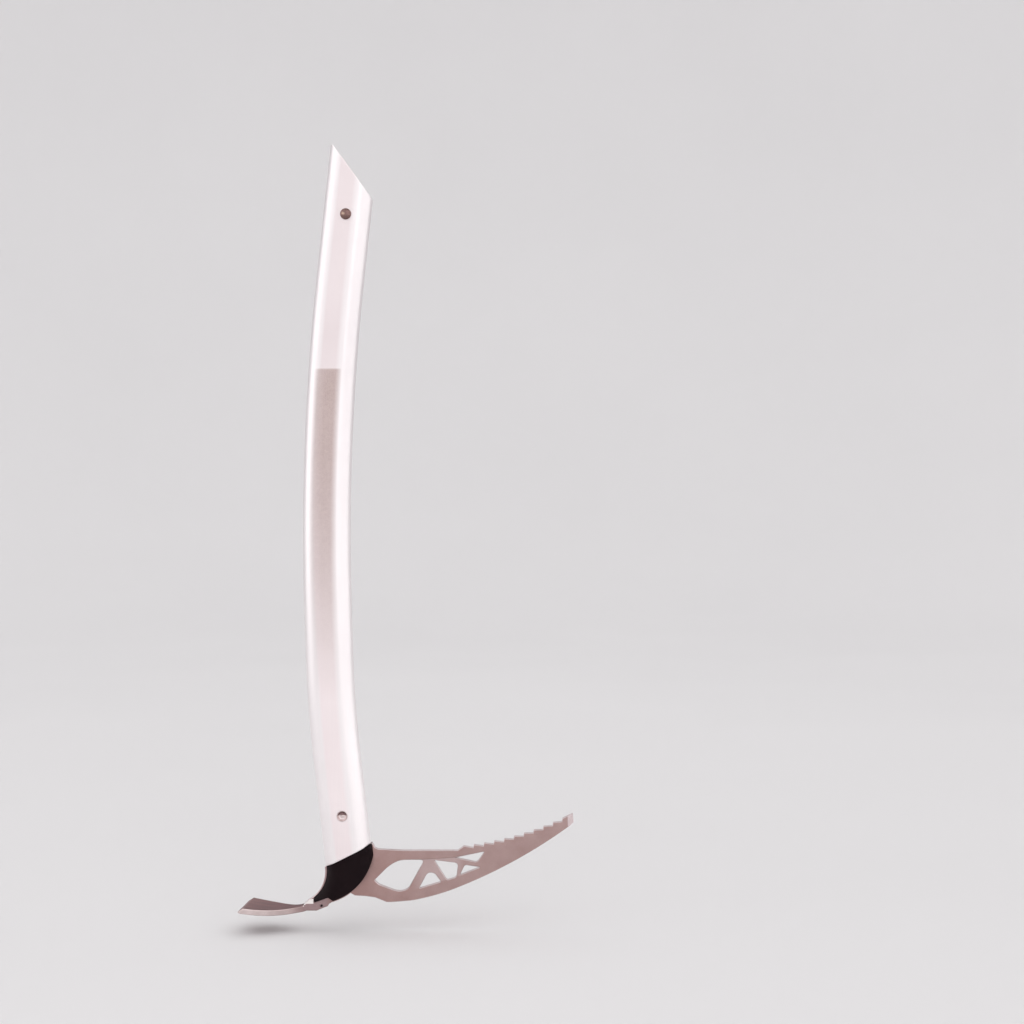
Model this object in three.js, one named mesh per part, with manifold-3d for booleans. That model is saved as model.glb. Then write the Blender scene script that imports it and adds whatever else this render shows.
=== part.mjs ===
// A short, light ice axe with a curved shaft, hanging head down by the eye in its head.
//
// Units are millimetres. +Z runs along the shaft towards the spike, +X towards the
// pick, and +Y goes through the head plate from its front to its back. The origin is
// the middle of the eye, halfway through the plate. Outlines are drawn in X and Z, and
// places on the shaft are distances up its middle line from the foot of that line.

import * as THREE from "three";
import { mergeVertices } from "three/addons/utils/BufferGeometryUtils.js";
import Module from "manifold-3d";

const wasm = await Module();
wasm.setup();

// ---------------------------------------------------------------- driving dimensions

const GAP = 0.3; // between pieces that touch

const SHAFT_WIDTH = 29.8; // in the plane of the head
const SHAFT_DEPTH = 20;
const SHAFT_FLAT = 11; // width of the flat strip on the front and on the back
const SHAFT_WALL = 1.6;
const SHAFT_FOOT = { x: -30.7, z: 0, lean: -6.61 }; // lean in degrees, + towards the pick
const SHAFT_RUNS = [
  { length: 75.4, turn: 0 },
  { length: 64, turn: 4.91 },
  { length: 30, turn: 0 },
  { length: 205, turn: 7.81 },
  { length: 110, turn: 0 },
];
const MOUTH_AT = 13.3; // where the cut at the head end crosses the shaft line
const MOUTH_SLOPE = 26.5; // degrees from X
const SPIKE_AT = 440.7; // where the cut that makes the spike crosses the shaft line
const SPIKE_SLOPE = -54.2;
const SPIKE_BLUNT = 455.6; // the very tip is ground off square here

const PLATE_THICK = 4;
const TANG_WIDTH = 21;
const TANG_TOP = 52;
const TOOTH_COUNT = 11;
const TOOTH_PITCH = 6.38;
const TOOTH_DEPTH = 1.72;
const TOOTH_RISE = 0.16; // part of the pitch taken by a tooth's steep side
const FIRST_TOOTH = [40, 18.5];
const PICK_TIP = [108, 38.9];
const PICK_SAG = 3.17; // how far the toothed edge stands off a straight line
const TIP_GRIND = { at: [108.4, 36], reach: 3.7, angle: 20, droop: 2 };

const INSERT_FACE = 9.5; // how far the mouldings' faces stand from the plate's middle
const INSERT_ARC = { x: -51.3, z: 19.7, radius: 35.5 }; // their edge on the pick side
const INSERT_EXTRA = 1.6; // how much wider than the shaft they are towards the pick
const TAIL_ARC = { x: -66, z: 3, radius: 20 }; // the plate's hollow edge above the adze
const PLUG_TOP = 50;

const ADZE_THICK = 3.4;
const ADZE_ROOT = [-57.9, -19.4];
const ADZE_EDGE = [-98.9, -18.5];
const ADZE_BEND = [[-80, -21.9], [-64, -22.1]]; // what the blade's middle line curves towards
const ADZE_WIDTH = 33; // along the cutting edge
const ADZE_RAKE = 2.3; // how much further out the edge's front corner is than its back one
const ADZE_BEVEL = 3; // ground on the side that faces the shaft
const ADZE_UNDERCUT = 0.6; // how far the cutting edge stands above the underside
const LUG_FACE = 4.3; // the lugs' outer faces, from the plate's middle
const HEEL_GRIND = { from: -58.8, to: -53.6, z: -16.9, slope: 52 }; // off the lugs' shoulders

const HEAD_RIVET_AT = 38.8;
const HEAD_RIVET_D = 6.6;
const SPIKE_RIVET_AT = 412.5;
const SPIKE_RIVET_D = 6.9;
const SPIKE_PLUG_FROM = 390;
const DOME_HEIGHT = 1.7;
const DISH_SEAT = 7.3; // where the head rivet's dished heads start and end in Y
const DISH_LIP = 9.8;
const SHANK_D = 3.6;
const SLEEVE_D = 5.4;
const PEG_D = 4;
const PEG_REACH = 6.2; // how far a peg stands into each moulding, from the plate's middle
const PEGS = { insert_peg_upper: [-33, 4], insert_peg_lower: [-38.5, -7.5] };
const PIN_D = 1.2;
const PIN_AT = [-48.5, -18.1];

const ALUMINIUM = { color: 0xf0e6e7, roughness: 0.34, metalness: 0.9 };
const STEEL = { color: 0xa68884, roughness: 0.42, metalness: 0.85 };
const MOULDING = { color: 0x201719, roughness: 0.55, metalness: 0 };
const DARK_STEEL = { color: 0x7c645f, roughness: 0.3, metalness: 0.9 };

const PLATE_FACE = PLATE_THICK / 2;
const SHAFT_FACE = SHAFT_DEPTH / 2;
const BORE_FACE = SHAFT_FACE - SHAFT_WALL;
const SHOULDER = (SHAFT_WIDTH - SHAFT_FLAT) / 2; // width of the section's rounded part
const WIDE = 60; // more than any piece measures from the middle in Y

// ---------------------------------------------------------------- solids

const radians = THREE.MathUtils.degToRad;

function toSolid(geometry) {
  geometry.deleteAttribute("normal");
  geometry.deleteAttribute("uv");
  const merged = mergeVertices(geometry, 1e-4);
  const mesh = new wasm.Mesh({
    numProp: 3,
    vertProperties: new Float32Array(merged.attributes.position.array),
    triVerts: new Uint32Array(merged.index.array),
  });
  return new wasm.Manifold(mesh);
}

function toGeometry(solid) {
  const { vertProperties, triVerts } = solid.getMesh();
  const geometry = new THREE.BufferGeometry();
  geometry.setAttribute("position", new THREE.BufferAttribute(vertProperties, 3));
  geometry.setIndex(new THREE.BufferAttribute(triVerts, 1));
  geometry.computeVertexNormals();
  return geometry;
}

// An outline in X and Z, as thick as from one y to another.
function slabGeometry(shape, yFrom, yTo, curveSegments = 8) {
  const depth = yTo - yFrom;
  const geometry = new THREE.ExtrudeGeometry(shape, { depth, bevelEnabled: false, curveSegments });
  geometry.rotateX(Math.PI / 2);
  return geometry.translate(0, yTo, 0);
}

function slab(shape, yFrom, yTo, curveSegments) {
  return toSolid(slabGeometry(shape, yFrom, yTo, curveSegments));
}

// A solid turned about the line along Y through (x, z). Each point is [radius, y].
function turned(points, [x, z], sides = 24) {
  const profile = points.map(([radius, y]) => new THREE.Vector2(radius, y));
  const geometry = new THREE.LatheGeometry(profile, sides);
  geometry.translate(x, 0, z);
  return toSolid(geometry);
}

// The same profile on the other side of the plate.
function flipped(points) {
  return points.map(([radius, y]) => [radius, -y]).reverse();
}

function rod(diameter, centre, yFrom, yTo, sides = 20) {
  const radius = diameter / 2;
  return turned([[0, yFrom], [radius, yFrom], [radius, yTo], [0, yTo]], centre, sides);
}

function polygon(points) {
  return new THREE.Shape(points.map(([x, z]) => new THREE.Vector2(x, z)));
}

// A closed outline through corners [x, z, reach]. A corner is rounded from that reach
// before it to the same reach after it.
function rounded(corners) {
  const shape = new THREE.Shape();
  corners.forEach(([x, z, reach], i) => {
    const here = new THREE.Vector2(x, z);
    const before = new THREE.Vector2(...corners.at(i - 1));
    const after = new THREE.Vector2(...corners[(i + 1) % corners.length]);
    const start = before.sub(here).setLength(reach).add(here);
    const end = after.sub(here).setLength(reach).add(here);
    if (i === 0) shape.moveTo(start.x, start.y);
    else shape.lineTo(start.x, start.y);
    shape.quadraticCurveTo(x, z, end.x, end.y);
  });
  shape.closePath();
  return shape;
}

// Points along an arc from one point to another that stands off its chord by a rise, to
// the right of the way it goes.
function arcPoints([x0, z0], [x1, z1], rise, steps) {
  const chord = Math.hypot(x1 - x0, z1 - z0);
  const half = 2 * Math.atan((2 * rise) / chord);
  const radius = chord / 2 / Math.sin(half);
  const along = new THREE.Vector2(x1 - x0, z1 - z0).normalize();
  const off = new THREE.Vector2(along.y, -along.x);
  const points = [];
  for (let i = 0; i <= steps; i++) {
    const angle = half * ((2 * i) / steps - 1);
    const forward = chord / 2 + radius * Math.sin(angle);
    const out = radius * (Math.cos(angle) - Math.cos(half));
    points.push([x0 + along.x * forward + off.x * out, z0 + along.y * forward + off.y * out]);
  }
  return points;
}

// ---------------------------------------------------------------- the shaft line

// Where the middle of the shaft is, and how it leans, at a distance from its foot.
function shaftAt(distance) {
  let { x, z, lean } = SHAFT_FOOT;
  let left = distance;
  for (const run of SHAFT_RUNS) {
    const used = Math.min(left, run.length);
    const turn = (run.turn * used) / run.length;
    x += used * Math.sin(radians(lean + turn / 2));
    z += used * Math.cos(radians(lean + turn / 2));
    lean += turn;
    left -= used;
    if (left <= 0) break;
  }
  return { x, z, lean };
}

// The place in X and Z at a distance up the shaft line.
function onShaft(distance) {
  const { x, z } = shaftAt(distance);
  return [x, z];
}

const HEAD_RIVET_PLACE = onShaft(HEAD_RIVET_AT);
const SPIKE_RIVET_PLACE = onShaft(SPIKE_RIVET_AT);

class ShaftLine extends THREE.Curve {
  constructor(from, to) {
    super();
    this.from = from;
    this.to = to;
  }
  getPoint(t, target = new THREE.Vector3()) {
    const { x, z } = shaftAt(THREE.MathUtils.lerp(this.from, this.to, t));
    return target.set(x, 0, z);
  }
}

// The section across the shaft, smaller all round by an inset: flats front and back,
// joined by elliptical shoulders. It can be made wider on one side or the other.
function section(inset, { adzeSide, pickSide } = { adzeSide: 0, pickSide: 0 }) {
  const deep = SHAFT_FACE - inset;
  const flat = SHAFT_FLAT / 2;
  const bulge = SHOULDER - inset;
  const steps = 6;
  const points = [];
  for (let i = 0; i < 4 * steps; i++) {
    const angle = (i / (2 * steps)) * Math.PI;
    const side = Math.cos(angle) > 1e-9 ? flat + pickSide : -flat - adzeSide;
    points.push([deep * Math.sin(angle), side + bulge * Math.cos(angle)]);
    if (i === steps) points.splice(-1, 0, [deep, flat + pickSide]);
    if (i === 3 * steps) points.push([-deep, flat + pickSide]);
  }
  return polygon(points);
}

function sweep(shape, from, to, steps = 1) {
  const extrudePath = new ShaftLine(from, to);
  return toSolid(new THREE.ExtrudeGeometry(shape, { steps, extrudePath }));
}

// A large block below or above the sloping plane that crosses the shaft line at a
// distance.
function block(distance, slope, side) {
  const size = 200;
  const { x, z } = shaftAt(distance);
  const geometry = new THREE.BoxGeometry(size, size, size);
  geometry.translate(0, 0, (side === "above" ? size : -size) / 2);
  geometry.rotateY(-radians(slope));
  geometry.translate(x, 0, z);
  return toSolid(geometry);
}

// ---------------------------------------------------------------- shaft

function shaftTube() {
  const bends = 26;
  const top = SPIKE_BLUNT + 20;
  const outside = sweep(section(0), 0, top, bends);
  const inside = sweep(section(SHAFT_WALL), 0, top, bends);
  const headHole = rod(HEAD_RIVET_D + 2 * GAP, HEAD_RIVET_PLACE, -WIDE, WIDE);
  const spikeHole = rod(SHANK_D + 2 * GAP, SPIKE_RIVET_PLACE, -WIDE, WIDE);
  return outside
    .subtract(inside)
    .subtract(block(MOUTH_AT, MOUTH_SLOPE, "below"))
    .subtract(block(SPIKE_AT, SPIKE_SLOPE, "above"))
    .subtract(block(SPIKE_BLUNT, -shaftAt(SPIKE_BLUNT).lean, "above"))
    .subtract(headHole)
    .subtract(spikeHole);
}

// ---------------------------------------------------------------- head plate

// The toothed edge, from the first tooth to the tip of the pick. Each tooth rises
// steeply on the side that faces the shaft and falls gently towards the tip.
function toothedEdge() {
  const [[x0, z0], [x1, z1]] = [FIRST_TOOTH, PICK_TIP];
  const slope = Math.atan2(z1 - z0, x1 - x0);
  const count = 200;
  const line = arcPoints(FIRST_TOOTH, PICK_TIP, PICK_SAG, count);
  const at = (distance) => line[Math.round((distance / Math.hypot(x1 - x0, z1 - z0)) * count)];
  const edge = [];
  for (let tooth = 0; tooth < TOOTH_COUNT - 1; tooth++) {
    edge.push(at(tooth * TOOTH_PITCH));
    const [x, z] = at((tooth + 1 - TOOTH_RISE) * TOOTH_PITCH);
    edge.push([x + TOOTH_DEPTH * Math.sin(slope), z - TOOTH_DEPTH * Math.cos(slope)]);
  }
  edge.push(at((TOOTH_COUNT - 1) * TOOTH_PITCH));
  edge.push(PICK_TIP);
  return edge;
}

function plateOutline() {
  const crown = [36.9, -7];
  const heel = [6.6, -15.5];
  const tailTurn = [-30.6, -10.8];
  const tailEnd = [-42.5, -16.6];
  return polygon([
    [-46.8, 5.6],
    [-17.4, 20.3],
    [-16.4, 19.4],
    [-15.6, 17.6],
    [-13.6, 16.6],
    [2.5, 15.8],
    [36.2, 15.8],
    ...toothedEdge(),
    [108.4, 33.2],
    ...arcPoints([106.5, 31.5], crown, -2.5, 14),
    ...arcPoints(crown, heel, -0.87, 6).slice(1),
    [-5.3, -16.4],
    [-8.2, -16.4],
    [-15.3, -13.5],
    [-20.8, -12.7],
    [-28, -12.3],
    ...arcPoints(tailTurn, tailEnd, -0.6, 4),
    [-44.6, -18],
    [-51.6, -20.8],
    [-57.6, -20.8],
    [-57.6, -15.6],
    ...arcPoints([-53.9, -13.1], [-46.8, 5.6], 2.5, 8).slice(0, -1),
  ]);
}

// The cut-outs that leave a truss in the head.
function eyeOutline() {
  return rounded([
    [-15.8, -2.8, 1],
    [-13.2, -5.4, 1.4],
    [-1, -9.9, 3],
    [5, -8.6, 3],
    [15.4, 10, 3],
    [0, 9.9, 3.6],
    [-6.6, 6.4, 3.6],
  ]);
}

const TRUSS_HOLES = [
  rounded([[12, -7.9, 1.2], [17.3, 2, 2.1], [21.6, 2, 2.1], [25.8, -3.8, 1.2]]),
  rounded([[21.4, 9.8, 1.4], [36.4, 8, 2.4], [35.3, -0.9, 1.6], [29.4, -2.8, 1.4]]),
  rounded([[34.2, 11.3, 1], [53, 15.2, 1.4], [48.2, 8.4, 1.6]]),
  rounded([[40.6, 6.8, 1.2], [37.5, 0.4, 1.2], [50.4, 5.4, 1.2]]),
];

// A wedge that grinds one side of the pick's tip to a chisel.
function tipGrind(side) {
  const { at, reach, angle, droop } = TIP_GRIND;
  const geometry = new THREE.BoxGeometry(2 * WIDE, WIDE, 2 * WIDE);
  geometry.translate(WIDE, (side * WIDE) / 2, 0);
  geometry.rotateZ(-side * radians(angle));
  geometry.translate(-reach, side * PLATE_FACE, 0);
  geometry.rotateY(-radians(droop));
  geometry.translate(at[0], 0, at[1]);
  return toSolid(geometry);
}

function headPlate() {
  const { x, z, lean } = shaftAt(0);
  const tang = new THREE.BoxGeometry(TANG_WIDTH, PLATE_THICK, TANG_TOP);
  tang.translate(0, 0, TANG_TOP / 2);
  tang.rotateY(radians(lean));
  tang.translate(x, 0, z);
  const sleeveHole = rod(SLEEVE_D + 2 * GAP, HEAD_RIVET_PLACE, -WIDE, WIDE);
  let plate = slab(plateOutline(), -PLATE_FACE, PLATE_FACE).add(toSolid(tang));
  for (const hole of [eyeOutline(), ...TRUSS_HOLES]) {
    plate = plate.subtract(slab(hole, -WIDE, WIDE, 4));
  }
  for (const place of Object.values(PEGS)) {
    plate = plate.subtract(rod(PEG_D + 2 * GAP, place, -WIDE, WIDE));
  }
  plate = plate.subtract(rod(PIN_D + 2 * GAP, PIN_AT, -WIDE, WIDE, 12));
  return plate.subtract(sleeveHole).subtract(tipGrind(1)).subtract(tipGrind(-1));
}

// ---------------------------------------------------------------- mouldings

// One circle's points between two angles in degrees.
function onArc({ x, z, radius }, from, to, steps) {
  const points = [];
  for (let i = 0; i <= steps; i++) {
    const angle = radians(THREE.MathUtils.lerp(from, to, i / steps));
    points.push([x + radius * Math.cos(angle), z + radius * Math.sin(angle)]);
  }
  return points;
}

function insertOutline() {
  const inner = { ...TAIL_ARC, radius: TAIL_ARC.radius + 0.6 };
  return polygon([
    ...onArc(INSERT_ARC, 8, -73, 14),
    [-44.1, -12.3],
    [-53, -15.6],
    ...onArc(inner, -52.5, 15, 10),
    [-46, 30],
    [-16, 30],
  ]);
}

// Both mouldings in one: a body that carries on the shaft's section below its mouth,
// rounded off along the hollow edge, and a plug inside the shaft.
function insertBody() {
  const inner = TAIL_ARC.radius + 0.6;
  const rim = [];
  const steps = 6;
  for (let i = 0; i <= steps; i++) {
    const angle = (i / steps) * (Math.PI / 2);
    rim.push([inner + SHOULDER * (1 - Math.cos(angle)), INSERT_FACE * Math.sin(angle)]);
  }
  const outer = inner + WIDE;
  const ring = [...rim, [outer, INSERT_FACE], [outer, -INSERT_FACE], ...flipped(rim)].reverse();
  const inset = SHAFT_FACE - INSERT_FACE;
  const body = slab(insertOutline(), -WIDE, WIDE)
    .intersect(sweep(section(inset, { adzeSide: 40, pickSide: INSERT_EXTRA }), -45, 40))
    .intersect(turned(ring, [TAIL_ARC.x, TAIL_ARC.z], 72))
    .subtract(block(MOUTH_AT - GAP, MOUTH_SLOPE, "above"));
  const plug = sweep(section(SHAFT_WALL + GAP), 0, PLUG_TOP).subtract(
    block(MOUTH_AT - 2, MOUTH_SLOPE, "below"),
  );
  return body.add(plug);
}

// The half in front of the plate, or the half behind it.
function insertHalf(side) {
  const plate = new THREE.BoxGeometry(2 * WIDE, WIDE, 2 * WIDE);
  plate.translate(0, side * (PLATE_FACE + GAP + WIDE / 2), 0);
  plate.translate(-30, 0, 0);
  const seat = DISH_SEAT - GAP;
  const [seatFrom, seatTo] = side < 0 ? [-WIDE, -seat] : [seat, WIDE];
  const headSeat = rod(HEAD_RIVET_D + 2 * GAP, HEAD_RIVET_PLACE, seatFrom, seatTo);
  let half = insertBody()
    .intersect(toSolid(plate))
    .subtract(rod(SLEEVE_D + 2 * GAP, HEAD_RIVET_PLACE, -WIDE, WIDE))
    .subtract(headSeat);
  for (const peg of Object.values(PEGS)) {
    half = half.subtract(rod(PEG_D + 2 * GAP, peg, -PEG_REACH - GAP, PEG_REACH + GAP));
  }
  return half;
}

// ---------------------------------------------------------------- adze

// The bent blade from the side: a middle line that dips and rises again, with half the
// thickness on each side of it, ground to an edge at its outer end.
function adzeProfile() {
  const corners = [ADZE_EDGE, ...ADZE_BEND, ADZE_ROOT];
  const middle = new THREE.CubicBezierCurve(...corners.map(([x, z]) => new THREE.Vector2(x, z)));
  const side = (t, half) => {
    const along = middle.getTangent(t);
    const { x, y } = middle.getPoint(t);
    return [x - along.y * half, y + along.x * half];
  };
  const half = ADZE_THICK / 2;
  const firstLeg = corners[1][0] - corners[0][0];
  const ground = ADZE_BEVEL / (3 * firstLeg); // the curve sets off at three times its first leg
  const steps = 12;
  const under = [side(0, ADZE_UNDERCUT - half)];
  const over = [];
  for (let i = 0; i <= steps; i++) {
    const t = THREE.MathUtils.lerp(ground, 1, i / steps);
    under.push(side(t, -half));
    over.unshift(side(t, half));
  }
  return polygon([...under, ...over]);
}

// The blade's outline from above. It flares from the lugs out to the cutting edge.
function adzePlan() {
  const half = ADZE_WIDTH / 2;
  const inner = ADZE_ROOT[0] + 1;
  const outer = ADZE_EDGE[0] - 1;
  const shape = new THREE.Shape();
  shape.moveTo(inner, -LUG_FACE);
  shape.lineTo(inner, LUG_FACE);
  shape.lineTo(-61, LUG_FACE);
  shape.bezierCurveTo(-70, LUG_FACE, -75, half - 1, outer, half);
  shape.lineTo(outer, -half);
  shape.bezierCurveTo(-75, 1 - half, -70, -LUG_FACE, -61, -LUG_FACE);
  return shape;
}

const LUG_OUTLINE = [
  [-60, -21.2],
  [-51.7, -21.2],
  [-44.6, -18.4],
  [-42.5, -14.4],
  [-44.2, -12.7],
  [-53, -15.95],
  [-53.5, -15.95],
  [-53.6, -13.7],
  [-57.3, -15.5],
  [-58.4, -16.7],
  [-59.6, -17.6],
];

// A wedge that grinds the shoulder off one lug, from the plate's face down to the lug's.
function heelGrind(side) {
  const { from, to, z, slope } = HEEL_GRIND;
  const geometry = new THREE.BoxGeometry(to - from, WIDE, WIDE);
  geometry.translate(0, 0, WIDE / 2);
  geometry.rotateX(-side * radians(slope));
  geometry.translate((from + to) / 2, side * LUG_FACE, z);
  return toSolid(geometry);
}

// The bent blade before its sides are cut, skewed so that its cutting edge is raked.
function rakedBlade() {
  const geometry = slabGeometry(adzeProfile(), -ADZE_WIDTH / 2, ADZE_WIDTH / 2);
  const { position } = geometry.attributes;
  for (let i = 0; i < position.count; i++) {
    const outward = (ADZE_ROOT[0] - position.getX(i)) / (ADZE_ROOT[0] - ADZE_EDGE[0]);
    const across = position.getY(i) / ADZE_WIDTH + 0.5;
    position.setX(i, position.getX(i) + ADZE_RAKE * outward * across);
  }
  return toSolid(geometry);
}

function adzeBlade() {
  const plan = new THREE.ExtrudeGeometry(adzePlan(), { depth: 40, bevelEnabled: false });
  plan.translate(0, 0, -40);
  const lugs = slab(polygon(LUG_OUTLINE), -LUG_FACE, LUG_FACE)
    .subtract(heelGrind(1))
    .subtract(heelGrind(-1));
  const slot = new THREE.BoxGeometry(30, PLATE_THICK + 2 * GAP, 30);
  slot.translate(ADZE_ROOT[0] + 15, 0, -15);
  return rakedBlade()
    .intersect(toSolid(plan))
    .add(lugs)
    .subtract(toSolid(slot))
    .subtract(rod(PIN_D + 2 * GAP, PIN_AT, -WIDE, WIDE, 12));
}

// ---------------------------------------------------------------- fasteners

// The dished head: a rim with a hollow in it, from its seat out to its lip.
function dish(radius, seat, lip, hole) {
  const floor = seat + 1;
  const steps = 4;
  const points = [[hole, seat], [radius, seat], [radius, lip], [radius - 0.3, lip]];
  for (let i = 1; i <= steps; i++) {
    const angle = (i / steps) * (Math.PI / 2);
    const r = hole + (radius - 0.3 - hole) * Math.cos(angle);
    points.push([r, lip - (lip - floor) * Math.sin(angle)]);
  }
  if (hole > 0) points.push(points[0]);
  return points;
}

function headRivet() {
  const head = turned(flipped(dish(HEAD_RIVET_D / 2, DISH_SEAT, DISH_LIP, 0)), HEAD_RIVET_PLACE);
  return head.add(rod(SHANK_D, HEAD_RIVET_PLACE, -DISH_SEAT - 0.5, DISH_SEAT + 1.2));
}

function headRivetCollar() {
  const bore = SHANK_D / 2 + GAP;
  return turned(dish(HEAD_RIVET_D / 2, DISH_SEAT, DISH_LIP, bore), HEAD_RIVET_PLACE);
}

// A spacer tube round a rivet's shank.
function sleeve(place, reach) {
  const bore = SHANK_D / 2 + GAP;
  const outer = SLEEVE_D / 2;
  const ring = [[bore, -reach], [outer, -reach], [outer, reach], [bore, reach], [bore, -reach]];
  return turned(ring, place, 20);
}

function domePoints(seat) {
  const radius = SPIKE_RIVET_D / 2;
  const steps = 5;
  const points = [[0, seat]];
  for (let i = 0; i <= steps; i++) {
    const angle = (i / steps) * (Math.PI / 2);
    points.push([radius * Math.cos(angle), seat + DOME_HEIGHT * Math.sin(angle)]);
  }
  return points;
}

const DOME_SEAT = SHAFT_FACE + 0.2;

function spikeRivet() {
  const head = turned(flipped(domePoints(DOME_SEAT)), SPIKE_RIVET_PLACE);
  return head.add(rod(SHANK_D, SPIKE_RIVET_PLACE, -DOME_SEAT - 0.5, DOME_SEAT + 0.4));
}

function spikeRivetCap() {
  const bore = rod(SHANK_D + 2 * GAP, SPIKE_RIVET_PLACE, 0, DOME_SEAT + 0.7);
  return turned(domePoints(DOME_SEAT), SPIKE_RIVET_PLACE).subtract(bore);
}

function spikePlug() {
  return sweep(section(SHAFT_WALL + GAP), SPIKE_PLUG_FROM, SPIKE_BLUNT + 10)
    .subtract(block(SPIKE_AT - 1.5, SPIKE_SLOPE, "above"))
    .subtract(rod(SLEEVE_D + 2 * GAP, SPIKE_RIVET_PLACE, -WIDE, WIDE));
}

// ---------------------------------------------------------------- assembly

const axe = new THREE.Group();

function add(name, look, solid) {
  const mesh = new THREE.Mesh(toGeometry(solid), new THREE.MeshStandardMaterial(look));
  mesh.name = name;
  axe.add(mesh);
}

add("shaft_tube", ALUMINIUM, shaftTube());
add("head_plate", STEEL, headPlate());
add("adze_blade", STEEL, adzeBlade());
add("head_insert_front", MOULDING, insertHalf(-1));
add("head_insert_back", MOULDING, insertHalf(1));
for (const [name, place] of Object.entries(PEGS)) {
  add(name, DARK_STEEL, rod(PEG_D, place, -PEG_REACH, PEG_REACH));
}
add("adze_pin", DARK_STEEL, rod(PIN_D, PIN_AT, -LUG_FACE, LUG_FACE, 12));
add("head_rivet", ALUMINIUM, headRivet());
add("head_rivet_collar", ALUMINIUM, headRivetCollar());
add("head_rivet_sleeve", DARK_STEEL, sleeve(HEAD_RIVET_PLACE, DISH_SEAT - GAP));
add("spike_plug", MOULDING, spikePlug());
add("spike_rivet", DARK_STEEL, spikeRivet());
add("spike_rivet_cap", DARK_STEEL, spikeRivetCap());
add("spike_rivet_sleeve", DARK_STEEL, sleeve(SPIKE_RIVET_PLACE, BORE_FACE - GAP));

export default axe;
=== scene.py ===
# The looks of a short ice axe that hangs head down by the eye in its head.
#
# Lengths in this file are millimetres until a mesh is made, which is in metres. X, Y and
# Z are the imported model's: +Z runs along the shaft towards the spike, +X towards the
# pick, and the head plate lies halfway through Y.

import math

import bmesh
import bpy
from mathutils import Matrix, Vector
from mathutils.geometry import tessellate_polygon


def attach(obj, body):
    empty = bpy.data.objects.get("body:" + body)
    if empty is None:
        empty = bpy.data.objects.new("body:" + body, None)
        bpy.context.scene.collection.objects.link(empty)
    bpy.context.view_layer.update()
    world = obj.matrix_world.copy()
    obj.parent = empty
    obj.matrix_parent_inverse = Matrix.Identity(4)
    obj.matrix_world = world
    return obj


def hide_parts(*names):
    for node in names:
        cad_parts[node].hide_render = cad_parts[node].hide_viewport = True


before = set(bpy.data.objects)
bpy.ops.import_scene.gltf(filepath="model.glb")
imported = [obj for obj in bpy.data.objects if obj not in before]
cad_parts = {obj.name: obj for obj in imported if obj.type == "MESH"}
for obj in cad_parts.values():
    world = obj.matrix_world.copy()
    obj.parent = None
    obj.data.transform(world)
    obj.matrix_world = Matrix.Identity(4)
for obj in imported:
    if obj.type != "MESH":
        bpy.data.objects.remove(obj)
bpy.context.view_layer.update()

MM = 0.001
GAP = 0.3
THROUGH = 30  # how far a drill that goes right through reaches in Y

SHAFT_WIDTH = 29.8
SHAFT_DEPTH = 20
SHAFT_FLAT = 11
SHAFT_WALL = 1.6
SHAFT_FOOT = (-30.7, 0, -6.61)  # x, z and lean in degrees
SHAFT_RUNS = [(75.4, 0), (64, 4.91), (30, 0), (205, 7.81), (110, 0)]  # length, turn
MOUTH_AT, MOUTH_SLOPE = 13.3, 26.5
SPIKE_AT, SPIKE_SLOPE = 440.7, -54.2
SPIKE_BLUNT = 455.6
SHOULDER = (SHAFT_WIDTH - SHAFT_FLAT) / 2
BEND_AT = 214  # where the shaft's long bend stands upright
BEND_RADIUS = 1504
BEND_RISE = 160  # the bend ends this far above that, and the shaft runs on straight

PLATE_FACE = 2
TANG_WIDTH, TANG_TOP, PLUG_TOP = 21, 52, 50
FIRST_TOOTH, PICK_TIP, PICK_SAG = (40, 18.5), (108, 38.9), 3.17
TOOTH_COUNT, TOOTH_PITCH, TOOTH_DEPTH, TOOTH_RISE = 11, 6.38, 1.72, 0.16
TIP_REACH, TIP_ANGLE, TIP_DROOP = 3.7, 20, 2
TIP_AT = (108.4, 36)

INSERT_FACE = 9.5
# The moulding's two long edges are arcs: x, z and radius, and the degrees they run from and to.
INSERT_ARC, INSERT_TURN = (-51.3, 19.7, 35.5), (2.25, -73)
TAIL_ARC, TAIL_TURN = (-66, 3, 20.6), (8.9, -52.5)

ADZE_ROOT, ADZE_EDGE = (-57.9, -19.4), (-98.9, -18.5)
ADZE_LINE = [ADZE_EDGE, (-80, -21.9), (-64, -22.1), ADZE_ROOT]
ADZE_WIDTH, ADZE_THICK, ADZE_RAKE, ADZE_BEVEL = 33, 3.4, 2.3, 3
ADZE_UNDERCUT = 0.6
LUG_FACE = 4.3

HEAD_RIVET_AT, SPIKE_RIVET_AT = 38.8, 412.5
PIN_AT, PIN_D = (-48.5, -18.1), 1.2
HEAD_RIVET_R, SPIKE_RIVET_R, SHANK_R = 3.3, 3.45, 1.8
DISH_SEAT, DISH_LIP, DISH_FLOOR = 7.3, 9.8, 8.3  # the head rivet's dish, from the middle in Y
DOME_SEAT, DOME_HEIGHT = 10.2, 1.7
SLEEVE_D, PEG_D, PEG_REACH = 5.4, 4, 6.2
PEGS = [(-33, 4), (-38.5, -7.5)]


# ---------------------------------------------------------------- nodes of a material

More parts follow.
